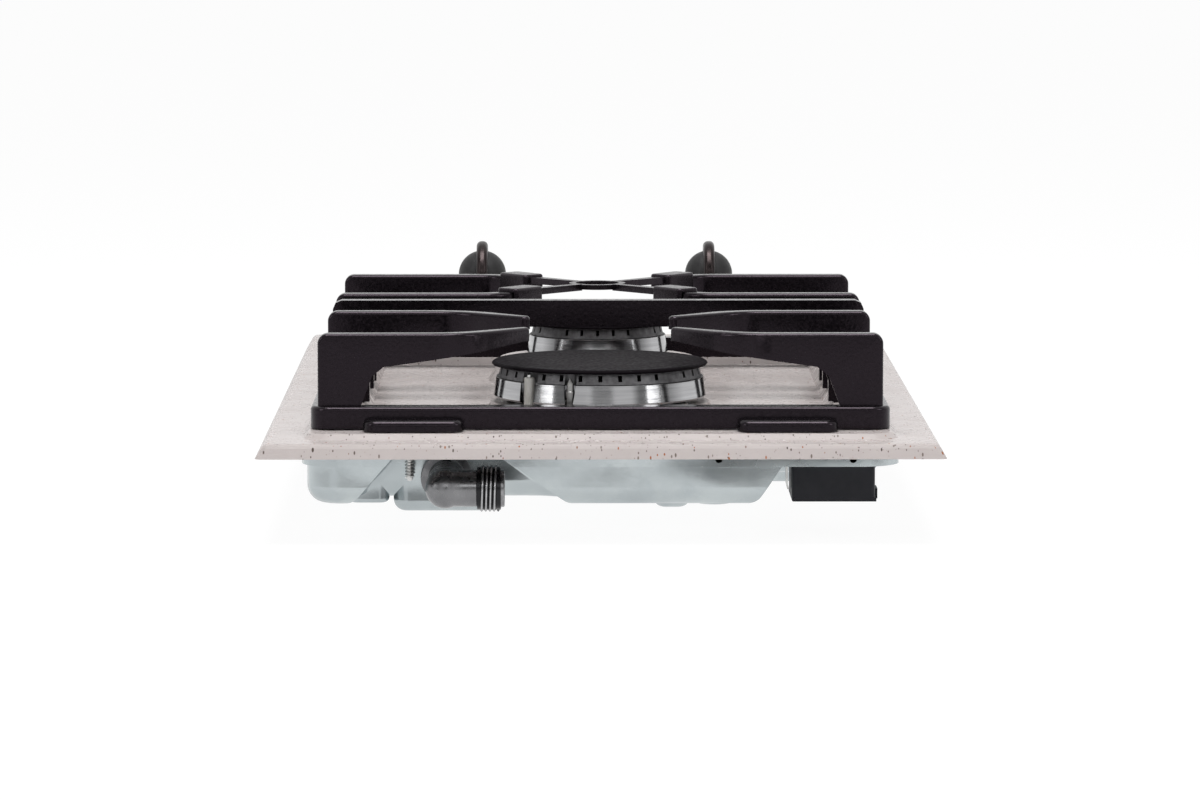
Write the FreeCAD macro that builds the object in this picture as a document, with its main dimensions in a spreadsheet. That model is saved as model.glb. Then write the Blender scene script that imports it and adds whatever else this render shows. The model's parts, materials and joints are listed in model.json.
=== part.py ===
# Two-burner built-in gas hob, 300 x 510 mm, as an assembly of separate pieces.
# Millimetres. Origin: middle of the plate outline at worktop level.
# +Z is up, the knobs are at -Y (front), the gas inlet is at +Y (rear).
import FreeCAD, Part
import Sketcher
import math
import os

V = FreeCAD.Vector
doc = FreeCAD.newDocument("gas_hob")
sheet = doc.addObject("Spreadsheet::Sheet", "sizes")


class Size:
    """A number that keeps the spreadsheet formula it comes from."""

    def __init__(self, value, text):
        self.value = float(value)
        self.text = text

    def _join(self, other, sign, value):
        return Size(value, "(" + self.text + " " + sign + " " + formula(other) + ")")

    def __add__(self, other):
        return self._join(other, "+", self.value + number(other))

    def __sub__(self, other):
        return self._join(other, "-", self.value - number(other))

    def __mul__(self, other):
        return self._join(other, "*", self.value * number(other))

    def __truediv__(self, other):
        return self._join(other, "/", self.value / number(other))

    def __radd__(self, other):
        return Size(number(other), formula(other)) + self

    def __rsub__(self, other):
        return Size(number(other), formula(other)) - self

    def __rmul__(self, other):
        return Size(number(other), formula(other)) * self

    def __neg__(self):
        return Size(-self.value, "(-1 * " + self.text + ")")


def number(size):
    return size.value if isinstance(size, Size) else float(size)


def formula(size):
    return size.text if isinstance(size, Size) else repr(float(size))


rows = [0]


def cell(alias, value):
    """Puts one driving dimension in the sheet."""
    rows[0] += 1
    row = str(rows[0])
    sheet.set("A" + row, alias)
    sheet.set("B" + row, str(value))
    sheet.setAlias("B" + row, alias)
    return Size(value, "sizes." + alias)


# top plate
plate_width = cell("plate_width", 300)
plate_depth = cell("plate_depth", 510)
sheet_metal = cell("sheet_metal", 1.0)
rim_height = cell("rim_height", 6.3)
skirt_lean = cell("skirt_lean", 4.1)
ridge_inset = cell("ridge_inset", 19.2)
ridge_ramp = cell("ridge_ramp", 3.0)
ridge_top = cell("ridge_top", 8.6)
ridge_width = cell("ridge_width", 20)
tray_floor = cell("tray_floor", 4.0)
boss_top = cell("boss_top", 15.0)
rear_boss_radius = cell("rear_boss_radius", 49)
rear_boss_knee = cell("rear_boss_knee", 53.2)
rear_boss_base = cell("rear_boss_base", 80)
front_boss_radius = cell("front_boss_radius", 47)
front_boss_knee = cell("front_boss_knee", 50.5)
front_boss_base = cell("front_boss_base", 53)
boss_knee_height = cell("boss_knee_height", 8.2)
seal_width = cell("seal_width", 8)
# burners
rear_burner_depth = cell("rear_burner_depth", 99)
front_burner_depth = cell("front_burner_depth", 298)
rear_skirt_radius = cell("rear_skirt_radius", 47.9)
front_skirt_radius = cell("front_skirt_radius", 34.3)
spreader_bottom = cell("spreader_bottom", 17.5)
spreader_shoulder = cell("spreader_shoulder", 26.3)
spreader_top = cell("spreader_top", 31.5)
cap_top = cell("cap_top", 33.4)
rear_cap_radius = cell("rear_cap_radius", 48.5)
front_cap_radius = cell("front_cap_radius", 35.2)
rear_slot_width = cell("rear_slot_width", 1.8)
front_slot_width = cell("front_slot_width", 1.4)
electrode_radius = cell("electrode_radius", 2.4)
probe_radius = cell("probe_radius", 2.0)
# pan support
support_top = cell("support_top", 50.7)
frame_width = cell("frame_width", 255)
frame_height = cell("frame_height", 9.7)
frame_bar = cell("frame_bar", 10)
frame_lift = cell("frame_lift", 0.6)
finger_width = cell("finger_width", 8)
finger_root = cell("finger_root", 14.7)
finger_tip = cell("finger_tip", 6.0)
finger_reach = cell("finger_reach", 33.6)
finger_bend = cell("finger_bend", 62)
front_finger_bend = cell("front_finger_bend", 48)
leg_width = cell("leg_width", 22)
leg_inset = cell("leg_inset", 3.2)
rear_finger_gap = cell("rear_finger_gap", 54)
front_finger_gap = cell("front_finger_gap", 52.5)
rear_overhang = cell("rear_overhang", 9)
front_overhang = cell("front_overhang", 14)
crossbar_shift = cell("crossbar_shift", 10.5)
tray_margin = cell("tray_margin", 8)
bend_radius = cell("bend_radius", 34)
front_bend_radius = cell("front_bend_radius", 20)
tip_shift = cell("tip_shift", 27)
front_tip_shift = cell("front_tip_shift", 18)
crossbar_height = cell("crossbar_height", 12.4)
lug_length = cell("lug_length", 44)
lug_height = cell("lug_height", 4.6)
lug_round = cell("lug_round", 2.2)
lug_offset = cell("lug_offset", 82)
lug_reach = cell("lug_reach", 11)
# knobs and taps
knob_offset = cell("knob_offset", 58)
knob_depth = cell("knob_depth", 455)
dome_radius = cell("dome_radius", 12.1)
dome_centre = cell("dome_centre", 42.0)
knob_foot_radius = cell("knob_foot_radius", 19)
knob_foot = cell("knob_foot", 11.5)
handle_width = cell("handle_width", 5.7)
handle_rise = cell("handle_rise", 4.8)
spindle_radius = cell("spindle_radius", 4.0)
# casing and rear connections
casing_width = cell("casing_width", 264)
casing_metal = cell("casing_metal", 0.8)
casing_rear = cell("casing_rear", 37)
casing_front = cell("casing_front", 490)
band_bottom = cell("band_bottom", 7.7)
pan_bottom = cell("pan_bottom", 25)
deep_bottom = cell("deep_bottom", 38)
deep_start = cell("deep_start", 215)
inlet_radius = cell("inlet_radius", 10.4775)
inlet_length = cell("inlet_length", 12)
inlet_drop = cell("inlet_drop", 15.6)
inlet_depth = cell("inlet_depth", 25)
inlet_offset = cell("inlet_offset", 68)
inlet_ceiling = cell("inlet_ceiling", 3.2)
niche_back = cell("niche_back", 188)
bay_depth = cell("bay_depth", 155)
bay_edge = cell("bay_edge", 80)
bay_slope = cell("bay_slope", 12)
box_length = cell("box_length", 36.7)
box_bottom = cell("box_bottom", 22.2)
box_offset = cell("box_offset", 84.3)
clamp_spacing = cell("clamp_spacing", 59)
clamp_radius = cell("clamp_radius", 1.6)
doc.recompute()

rear_edge = plate_depth / 2
finger_a = rear_burner_depth - rear_finger_gap
finger_b = rear_burner_depth + rear_finger_gap
finger_d = front_burner_depth - front_finger_gap
finger_e = front_burner_depth + front_finger_gap
crossbar_c = (finger_b + finger_d) / 2 + crossbar_shift
frame_rear = finger_a - rear_overhang
frame_front = finger_e + front_overhang
tray_front = frame_front + tray_margin
nodes = []


def bind(thing, path, size):
    """Binds a property to the sheet."""
    thing.setExpression(path, formula(size))


def place(thing, x=0, y=0, z=0, turn=0):
    thing.Placement = FreeCAD.Placement(V(number(x), number(y), number(z)),
        FreeCAD.Rotation(V(0, 0, 1), turn))
    for path, size in (("x", x), ("y", y), ("z", z)):
        if isinstance(size, Size):
            bind(thing, "Placement.Base." + path, size)


def body(label, x=0, y=0, z=0, turn=0, keep=True):
    made = doc.addObject("PartDesign::Body", label)
    made.Label = label
    if "AllowCompound" in made.PropertiesList:
        made.AllowCompound = True
    place(made, x, y, z, turn)
    if keep:
        nodes.append(made)
    return made


def sketch(owner, plane, level=0, turn=0):
    """An empty sketch on one of the body's own planes, level mm along the plane's normal."""
    made = owner.newObject("Sketcher::SketchObject", owner.Label + "_sketch")
    support = [f for f in owner.Origin.OriginFeatures if f.Role == plane][0]
    made.AttachmentSupport = [(support, "")]
    made.MapMode = "FlatFace"
    made.AttachmentOffset = FreeCAD.Placement(V(0, 0, number(level)), FreeCAD.Rotation(V(0, 0, 1), turn))
    if isinstance(level, Size):
        bind(made, "AttachmentOffset.Base.z", level)
    return made


def fix(sk, kind, first, size):
    held = sk.addConstraint(Sketcher.Constraint(kind, *first, number(size)))
    if isinstance(size, Size):
        bind(sk, "Constraints[" + str(held) + "]", size)


def polygon(sk, points):
    """A closed outline whose corners are held by the sheet."""
    start = len(sk.Geometry)
    count = len(points)
    flat = [V(number(x), number(y), 0) for x, y in points]
    sk.addGeometry([Part.LineSegment(flat[i], flat[(i + 1) % count]) for i in range(count)], False)
    for i in range(count):
        sk.addConstraint(Sketcher.Constraint("Coincident", start + i, 2, start + (i + 1) % count, 1))
    for i, (x, y) in enumerate(points):
        fix(sk, "DistanceX", (-1, 1, start + i, 1), x)
        fix(sk, "DistanceY", (-1, 1, start + i, 1), y)


def bent(sk, points):
    """A closed outline of lines and arcs: a point with a third entry starts an arc through that spot."""
    start = len(sk.Geometry)
    count = len(points)
    flat = [V(number(p[0]), number(p[1]), 0) for p in points]
    ends = []
    for i, p in enumerate(points):
        after = flat[(i + 1) % count]
        if len(p) == 3:
            over = V(number(p[2][0]), number(p[2][1]), 0)
            leftward = (over - flat[i]).cross(after - over).z > 0
            first, last = (flat[i], after) if leftward else (after, flat[i])
            sk.addGeometry(Part.Arc(first, over, last), False)
            ends.append((1, 2) if leftward else (2, 1))
        else:
            sk.addGeometry(Part.LineSegment(flat[i], after), False)
            ends.append((1, 2))
    for i in range(count):
        after = (i + 1) % count
        sk.addConstraint(Sketcher.Constraint("Coincident", start + i, ends[i][1], start + after,
            ends[after][0]))
    for i, p in enumerate(points):
        fix(sk, "DistanceX", (-1, 1, start + i, ends[i][0]), p[0])
        fix(sk, "DistanceY", (-1, 1, start + i, ends[i][0]), p[1])
        if len(p) == 3:
            fix(sk, "Radius", (start + i,), sk.Geometry[start + i].Radius)


def rectangle(sk, x0, y0, x1, y1):
    polygon(sk, [(x0, y0), (x1, y0), (x1, y1), (x0, y1)])


def rounded(sk, x0, y0, x1, y1, r):
    """A rectangle with round corners."""
    start = len(sk.Geometry)
    ends = [(x0 + r, y0), (x1 - r, y0), (x1, y0 + r), (x1, y1 - r), (x1 - r, y1), (x0 + r, y1),
        (x0, y1 - r), (x0, y0 + r)]
    flat = [V(number(x), number(y), 0) for x, y in ends]
    bulge = number(r) * (1 - math.sqrt(0.5))
    mids = [
        V(number(x1) - bulge, number(y0) + bulge, 0),
        V(number(x1) - bulge, number(y1) - bulge, 0),
        V(number(x0) + bulge, number(y1) - bulge, 0),
        V(number(x0) + bulge, number(y0) + bulge, 0),
    ]
    for i in range(4):
        sk.addGeometry(Part.LineSegment(flat[2 * i], flat[2 * i + 1]), False)
        sk.addGeometry(Part.Arc(flat[2 * i + 1], mids[i], flat[(2 * i + 2) % 8]), False)
    for i in range(4):
        line = start + 2 * i
        after = start + (2 * i + 2) % 8
        sk.addConstraint(Sketcher.Constraint("Coincident", line, 2, line + 1, 1))
        sk.addConstraint(Sketcher.Constraint("Coincident", line + 1, 2, after, 1))
        fix(sk, "Radius", (line + 1,), r)
        for point, corner in ((1, ends[2 * i]), (2, ends[2 * i + 1])):
            fix(sk, "DistanceX", (-1, 1, line, point), corner[0])
            fix(sk, "DistanceY", (-1, 1, line, point), corner[1])


def circle(sk, x, y, r):
    made = sk.addGeometry(Part.Circle(V(number(x), number(y), 0), V(0, 0, 1), number(r)), False)
    fix(sk, "DistanceX", (-1, 1, made, 3), x)
    fix(sk, "DistanceY", (-1, 1, made, 3), y)
    fix(sk, "Radius", (made,), r)


def feature(owner, kind, sk):
    made = owner.newObject("PartDesign::" + kind, owner.Label + "_" + kind.lower())
    made.Profile = sk
    sk.Visibility = False
    return made


def pad(owner, sk, length, back=False, middle=False):
    made = feature(owner, "Pad", sk)
    made.Length = number(length)
    bind(made, "Length", length)
    made.Reversed = back
    made.Midplane = middle
    doc.recompute()
    return made


def pocket(owner, sk, length, back=False, middle=False):
    before = owner.Shape.Volume
    made = feature(owner, "Pocket", sk)
    made.Length = number(length)
    bind(made, "Length", length)
    made.Reversed = back
    made.Midplane = middle
    doc.recompute()
    if not owner.Shape.Volume < before - 1e-6:
        raise ValueError(owner.Label + ": a pocket cuts nothing")
    return made


def revolve(owner, points):
    """A turned piece about the body's own upright axis: points are radius and height."""
    sk = sketch(owner, "XZ_Plane")
    polygon(sk, points)
    made = feature(owner, "Revolution", sk)
    made.ReferenceAxis = (sk, ["V_Axis"])
    made.Angle = 360
    doc.recompute()
    return made


def loft(owner, low, others, cut=False):
    made = feature(owner, "SubtractiveLoft" if cut else "AdditiveLoft", low)
    made.Sections = others
    made.Ruled = True
    doc.recompute()
    return made


def soften(owner, radius, chosen):
    """Fillets the edges that chosen() picks."""
    tip = owner.Tip
    names = ["Edge" + str(i) for i, edge in enumerate(tip.Shape.Edges, 1) if chosen(edge)]
    made = owner.newObject("PartDesign::Fillet", owner.Label + "_fillet")
    made.Base = (tip, names)
    made.Radius = number(radius)
    bind(made, "Radius", radius)
    doc.recompute()
    if "Invalid" in made.State or not made.Shape.isValid():
        raise ValueError(f"{owner.Label}: fillet {number(radius)} fails on {len(names)} edges")
    return made


def pattern(owner, original, count, angle):
    made = owner.newObject("PartDesign::PolarPattern", owner.Label + "_pattern")
    made.Originals = [original]
    axis = [f for f in owner.Origin.OriginFeatures if f.Role == "Z_Axis"][0]
    made.Axis = (axis, [""])
    made.Angle = angle
    made.Occurrences = count
    owner.Tip = made
    doc.recompute()
    return made


def level(edge, z):
    box = edge.BoundBox
    return abs(box.ZMin - number(z)) < 1e-4 and abs(box.ZMax - number(z)) < 1e-4


def cut(label, base, tools, keep=True):
    """base less every tool, as one labelled object."""
    if len(tools) == 1:
        tool = tools[0]
    else:
        tool = doc.addObject("Part::Compound", label + "_tools")
        tool.Links = tools
    made = doc.addObject("Part::Cut", label)
    made.Base = base
    made.Tool = tool
    made.Label = label
    doc.recompute()
    if keep:
        nodes.append(made)
    return made


def cylinder(name, radius, height, x, y, z):
    made = doc.addObject("Part::Cylinder", name)
    bind(made, "Radius", radius)
    bind(made, "Height", height)
    place(made, x, y, z)
    return made


def shape_node(label, shapes):
    """A piece whose route or grouping has no sketch: its sizes come from the sheet's numbers."""
    made = doc.addObject("Part::Feature", label)
    made.Label = label
    made.Shape = shapes[0] if len(shapes) == 1 else Part.makeCompound(shapes)
    nodes.append(made)
    return made


def route(points, bend, radius, bore=0):
    """A round tube along straight runs joined by arcs."""
    spots = [V(number(x), number(y), number(z)) for x, y, z in points]
    edges = []
    at = spots[0]
    for i in range(1, len(spots) - 1):
        back = (spots[i - 1] - spots[i]).normalize()
        ahead = (spots[i + 1] - spots[i]).normalize()
        half = back.getAngle(ahead) / 2
        trim = bend / math.tan(half)
        first = spots[i] + back * trim
        last = spots[i] + ahead * trim
        inward = (back + ahead).normalize()
        middle = spots[i] + inward * (bend / math.sin(half) - bend)
        edges.append(Part.LineSegment(at, first).toShape())
        edges.append(Part.Arc(first, middle, last).toShape())
        at = last
    edges.append(Part.LineSegment(at, spots[-1]).toShape())
    path = Part.Wire(edges)
    along = (spots[1] - spots[0]).normalize()

    def swept(r):
        ring = Part.Wire([Part.Circle(spots[0], along, r).toShape()])
        return path.makePipeShell([ring], True, False)

    solid = swept(radius)
    if bore:
        solid = solid.cut(swept(bore))
    return solid


def turned(points, x=0, y=0, z=0):
    """A solid of revolution from plain numbers, for small groups of the same piece."""
    flat = [V(number(r), 0, number(h)) for r, h in points]
    face = Part.Face(Part.makePolygon(flat + flat[:1]))
    solid = face.revolve(V(0, 0, 0), V(0, 0, 1), 360)
    solid.translate(V(number(x), number(y), number(z)))
    return solid


# top plate: an outer pressing less an inner one, so that the sheet stays even
def pressing(name, gap):
    """The plate's upper surface as a solid, moved inward by gap."""
    made = body(name, keep=False)
    wide = plate_width / 2 - gap * 1.2
    deep = plate_depth / 2 - gap * 1.2
    top = rim_height - gap
    low = sketch(made, "XY_Plane")
    rounded(low, -wide, -deep, wide, deep, 3 - number(gap))
    steps = []
    for share, lean in ((0.70, 0.62), (0.88, 0.84), (0.97, 1.1), (1.0, 1.5)):
        higher = sketch(made, "XY_Plane", top * share)
        x = wide - skirt_lean * lean
        y = deep - skirt_lean * lean
        rounded(higher, -x, -y, x, y, 3 - number(gap))
        steps.append(higher)
    loft(made, low, steps)
    ridge_front = rear_edge - tray_front - ridge_width
    outer = ridge_inset + gap * 0.6
    low = sketch(made, "XY_Plane", top - 0.5)
    x = plate_width / 2 - outer
    y = rear_edge - outer
    rounded(low, -x, ridge_front + gap * 0.6, x, y, 12 - gap)
    high = sketch(made, "XY_Plane", ridge_top - gap)
    x = x - ridge_ramp
    y = y - ridge_ramp
    rounded(high, -x, ridge_front + ridge_ramp + gap * 0.6, x, y, 11 - gap)
    loft(made, low, [high])
    inset = ridge_inset + ridge_ramp + ridge_width - gap * 0.6
    high = sketch(made, "XY_Plane", ridge_top - gap + 0.01)
    x = plate_width / 2 - inset
    y = rear_edge - inset
    front = rear_edge - tray_front
    rounded(high, -x, front - gap * 0.6, x, y, 10 + gap * 0.6)
    low = sketch(made, "XY_Plane", tray_floor - gap)
    lower = x - ridge_ramp
    rounded(low, -lower, front + ridge_ramp - gap * 0.6, lower, y - ridge_ramp, 8 + gap * 0.6)
    loft(made, low, [high], cut=True)
    for depth, crest, knee, foot in (
        (rear_burner_depth, rear_boss_radius, rear_boss_knee, rear_boss_base),
        (front_burner_depth, front_boss_radius, front_boss_knee, front_boss_base),
    ):
        low = sketch(made, "XY_Plane", tray_floor - gap - 0.2)
        circle(low, 0, rear_edge - depth, foot - gap * 0.5)
        middle = sketch(made, "XY_Plane", boss_knee_height - gap)
        circle(middle, 0, rear_edge - depth, knee - gap * 0.5)
        high = sketch(made, "XY_Plane", boss_top - gap)
        circle(high, 0, rear_edge - depth, crest - gap * 0.5)
        loft(made, low, [middle, high])
    return made


plate_outer = pressing("plate_outer", 0)
plate_inner = pressing("plate_inner", sheet_metal)
rear_y = rear_edge - rear_burner_depth
front_y = rear_edge - front_burner_depth
knob_y = rear_edge - knob_depth
rear_neck = rear_skirt_radius - 13
front_neck = front_skirt_radius - 10
rear_spot = rear_skirt_radius - 2.2
front_spot = front_skirt_radius - 2.2
SPARK_TURN = 43.5
PROBE_TURN = 16.9


def around(radius, turn, x, y):
    """The point at radius from (x, y), turn degrees from +Y towards +X."""
    a = math.radians(turn)
    return x + radius * math.sin(a), y + radius * math.cos(a)


SPARK = {
    "rear": around(rear_spot, SPARK_TURN, 0, rear_y),
    "front": around(front_spot, SPARK_TURN + 180, 0, front_y),
}
PROBE = {
    "rear": around(rear_spot, PROBE_TURN, 0, rear_y),
    "front": around(front_spot, PROBE_TURN + 180, 0, front_y),
}
CUP_SCREWS = [around(rear_neck + 6.5, turn, 0, rear_y) for turn in (90, 225, 300)]
CUP_SCREWS += [around(front_neck + 5.2, turn, 0, front_y) for turn in (45, 135, 300)]
holes = [
    cylinder("rear_hole", rear_neck + 1.5, 60, 0, rear_y, -20),
    cylinder("front_hole", front_neck + 1.0, 60, 0, front_y, -20),
]
for name in ("rear", "front"):
    holes.append(cylinder(name + "_spark_hole", electrode_radius + 0.8, 60, SPARK[name][0],
        SPARK[name][1], -20))
    holes.append(cylinder(name + "_probe_hole", probe_radius + 0.8, 60, PROBE[name][0], PROBE[name][1],
        -20))
for side in (-1, 1):
    holes.append(cylinder("spindle_hole", spindle_radius + 3, 30, knob_offset * side, knob_y, -10))
for x, y in CUP_SCREWS:
    holes.append(cylinder("cup_screw_hole", 2.2, 30, x, y, 0))
plate_sheet = cut("plate_sheet", plate_outer, [plate_inner], keep=False)
top_plate = cut("top_plate", plate_sheet, holes)

# foam strip that the hob rests on, inside the skirt
seal_x = plate_width / 2 - skirt_lean - sheet_metal * 1.2 - 2.3
seal_y = rear_edge - skirt_lean - sheet_metal * 1.2 - 2.3
rim_seal = body("rim_seal")
sk = sketch(rim_seal, "XY_Plane")
rounded(sk, -seal_x, -seal_y, seal_x, seal_y, 3)
rounded(sk, seal_width - seal_x, seal_width - seal_y, seal_x - seal_width, seal_y - seal_width, 1.5)
pad(rim_seal, sk, rim_height - sheet_metal)


# burners: cup under the plate, lift-off spreader and cap
def burner(name, y, skirt, neck, cap_radius, slot, per_side, pitch, turn):
    ring = skirt - 2.4
    under = boss_top - sheet_metal
    cup = body(name + "_burner_cup", 0, y)
    revolve(cup, [
        (neck - 3.5, spreader_bottom + 2.5), (neck, spreader_bottom + 2.5), (neck, under),
        (ring + 0.6, under),
        (ring + 0.6, under - 3), (neck + 1, under - 3), (neck - 6, -8), (7, -12), (7, -8), (neck - 9, -4.5),
        (neck - 3.5, under - 4),
    ])
    for spot, wide in ((SPARK, electrode_radius), (PROBE, probe_radius)):
        sk = sketch(cup, "XY_Plane", under + 0.5)
        circle(sk, spot[name][0], spot[name][1] - y, wide + 0.35)
        pocket(cup, sk, 30)
    sk = sketch(cup, "XY_Plane", under + 0.5)
    for sx, sy in CUP_SCREWS[:3] if name == "rear" else CUP_SCREWS[3:]:
        circle(sk, sx, sy - y, 1.65)
    pocket(cup, sk, 30)

    spreader = body(name + "_flame_spreader", 0, y)
    wall = ring - 7.5
    revolve(spreader, [
        (skirt - 1.4, spreader_shoulder), (ring, spreader_shoulder + 0.3), (ring - 1.2, spreader_top),
        (wall, spreader_top), (wall, spreader_shoulder + 1.4), (12, spreader_shoulder + 0.2),
        (8, spreader_shoulder + 3),
        (7, spreader_shoulder - 4), (8.5, 4), (10.5, 4), (9.5, spreader_shoulder - 3),
        (neck - 5, spreader_bottom + 5.5),
        (neck - 4, spreader_bottom - 2), (neck - 3.9, spreader_bottom - 2),
        (neck - 3.8, spreader_bottom + 2.5),
        (neck + 1.5, spreader_bottom + 2.5), (skirt - 3, spreader_bottom + 1.5),
        (skirt - 3, spreader_bottom),
        (skirt - 0.6, spreader_bottom), (skirt, spreader_bottom + 0.8),
    ])
    for spot, wide in ((SPARK, electrode_radius + 2.1), (PROBE, probe_radius + 0.8)):
        sk = sketch(spreader, "XY_Plane", spreader_top + 1)
        circle(sk, spot[name][0], spot[name][1] - y, wide)
        pocket(spreader, sk, 30)
    sk = sketch(spreader, "XY_Plane", spreader_top - 0.8, turn - pitch * (per_side - 1) / 2)
    near = wall - 2
    far = ring + 3
    rectangle(sk, near, -slot / 2, far, slot / 2)
    rectangle(sk, -far, -slot / 2, -near, slot / 2)
    rectangle(sk, -slot / 2, near, slot / 2, far)
    rectangle(sk, -slot / 2, -far, slot / 2, -near)
    slots = pocket(spreader, sk, 2.8)
    pattern(spreader, slots, per_side, pitch * (per_side - 1))

    cap = body(name + "_burner_cap", 0, y)
    revolve(cap, [
        (0, cap_top + 0.5), (cap_radius * 0.6, cap_top + 0.4), (cap_radius - 1.2, cap_top),
        (cap_radius - 0.3, cap_top - 0.5),
        (cap_radius, cap_top - 1.1), (cap_radius - 0.5, cap_top - 1.7), (cap_radius - 1.4, spreader_top),
        (wall - 0.5, spreader_top), (wall - 1.0, spreader_top - 2.5), (wall - 3.2, spreader_top - 2.5),
        (wall - 4, spreader_top - 0.6), (0, spreader_top - 0.6),
    ])
    injector = body(name + "_injector", 0, y)
    revolve(injector, [
        (0, -16), (5.4, -16), (5.4, -12), (6.95, -12), (6.95, -8.2), (3.2, -8.2), (2.6, -4), (1.0, -4),
        (0.6, -10), (0, -10),
    ])
    return cup, spreader, cap, injector


burner("rear", rear_y, rear_skirt_radius, rear_neck, rear_cap_radius, rear_slot_width, 7, 11.25, 0)
burner("front", front_y, front_skirt_radius, front_neck, front_cap_radius, front_slot_width, 5, 14, 0)

shape_node("cup_screws", [
    turned([(0, boss_top + 2.0), (1.8, boss_top + 2.0), (3.4, boss_top + 1.1), (3.4, boss_top),
        (1.6, boss_top),
            (1.6, boss_top - 9), (0, boss_top - 9)], x, y) for x, y in CUP_SCREWS
])

for name, y in (("rear", rear_y), ("front", front_y)):
    x0, y0 = SPARK[name]
    ceramic = body(name + "_electrode", x0, y0)
    revolve(ceramic, [
        (0, -4), (electrode_radius, -4), (electrode_radius, 6), (electrode_radius + 1.2, 6.4),
        (electrode_radius + 1.2, 8.6),
        (electrode_radius, 9), (electrode_radius, spreader_top - 2.9),
        (electrode_radius - 0.5, spreader_top - 2.4),
        (0.95, spreader_top - 2.4), (0.95, spreader_top - 6), (0, spreader_top - 6),
    ])
    wire = body(name + "_electrode_tip", x0, y0)
    revolve(wire, [
        (0, spreader_top - 6), (0.9, spreader_top - 6), (0.9, spreader_top - 1.4),
        (0.5, spreader_top - 0.9),
        (0, spreader_top - 0.7),
    ])
    x0, y0 = PROBE[name]
    probe = body(name + "_thermocouple", x0, y0)
    revolve(probe, [
        (0, -3), (1.1, -3), (1.6, 2), (probe_radius + 1.4, 5), (probe_radius + 1.4, 9), (probe_radius, 9.6),
        (probe_radius, spreader_top - 8), (probe_radius - 0.4, spreader_top - 7.4),
        (probe_radius - 0.5, spreader_top - 4.2),
        (0.5, spreader_top - 2.2), (0, spreader_top - 2.0),
    ])

# pan support: one casting
support_low = ridge_top + frame_lift
frame_top = support_low + frame_height
support_y0 = rear_edge - frame_front
support_y1 = rear_edge - frame_rear
pan_support = body("pan_support")
half = number(finger_width) / 2
slim = 2.6
leg_out = frame_width / 2 - leg_inset


def finger(sk, y, towards, side, bend, shift, round_by, tip_half):
    """A finger in plan: straight in from its leg, a round bend, then straight to a narrower round tip."""
    shift = number(shift)
    bulge = tip_half * 0.73
    swing = math.atan2(shift, number(bend) - number(finger_reach))
    sin = math.sin(swing)
    cos = math.cos(swing)
    r = number(round_by)
    straight = (shift - r * (1 - cos)) / sin
    tip_u = number(leg_out) - number(finger_reach)
    bend_u = tip_u - r * sin - straight * cos

    def spot(u, v):
        return (leg_out - u) * side, y + v * towards

    def on_bend(radius, share):
        a = swing * share
        return spot(bend_u + radius * math.sin(a), r - radius * math.cos(a))

    bent(sk, [
        spot(0, -half),
        (*spot(bend_u, -half), on_bend(r + half, 0.5)),
        on_bend(r + half, 1),
        (*spot(tip_u + tip_half * sin, shift - tip_half * cos),
        spot(tip_u + bulge * cos, shift + bulge * sin)),
        spot(tip_u - tip_half * sin, shift + tip_half * cos),
        (*on_bend(r - half, 1), on_bend(r - half, 0.5)),
        spot(bend_u, half),
        spot(0, half),
    ])


sk = sketch(pan_support, "XY_Plane", support_low)
for depth, towards in ((finger_a, -1), (finger_b, 1)):
    for side in (-1, 1):
        finger(sk, rear_edge - depth, towards, side, finger_bend, tip_shift, bend_radius, slim)
for depth, towards in ((finger_d, -1), (finger_e, 1)):
    for side in (-1, 1):
        finger(sk, rear_edge - depth, towards, side, front_finger_bend, front_tip_shift,
            front_bend_radius, half)
pad(pan_support, sk, support_top - support_low)
sk = sketch(pan_support, "XZ_Plane")
inner = leg_out - leg_width
polygon(sk, [
    (-inner - 3, support_low - 5), (-inner - 3, frame_top), (-inner + 2, support_top - finger_root - 4),
    (-inner + 7, support_top - finger_root), (-finger_reach, support_top - finger_tip),
    (0, support_top - finger_tip),
    (finger_reach, support_top - finger_tip), (inner - 7, support_top - finger_root),
    (inner - 2, support_top - finger_root - 4), (inner + 3, frame_top), (inner + 3, support_low - 5),
])
pocket(pan_support, sk, plate_depth * 2, middle=True)


def outer_corner(edge):
    box = edge.BoundBox
    outermost = abs(abs(box.Center.x) - number(leg_out)) < 1e-3
    return level(edge, support_top) and outermost and box.XLength < 1e-3


def top_rim(edge):
    return level(edge, support_top) and edge.BoundBox.XLength > 1e-3


def frame_rim(edge):
    box = edge.BoundBox
    reach = max(abs(box.XMin), abs(box.XMax))
    at_side = reach > number(frame_width) / 2 - 1e-3
    at_end = box.YMin < number(support_y0) + 1e-3 or box.YMax > number(support_y1) - 1e-3
    return level(edge, frame_top) and (at_side or at_end)


def lug_rim(edge):
    return level(edge, support_low + lug_height) and edge.BoundBox.YMax > number(support_y1) + 1e-3


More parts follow.
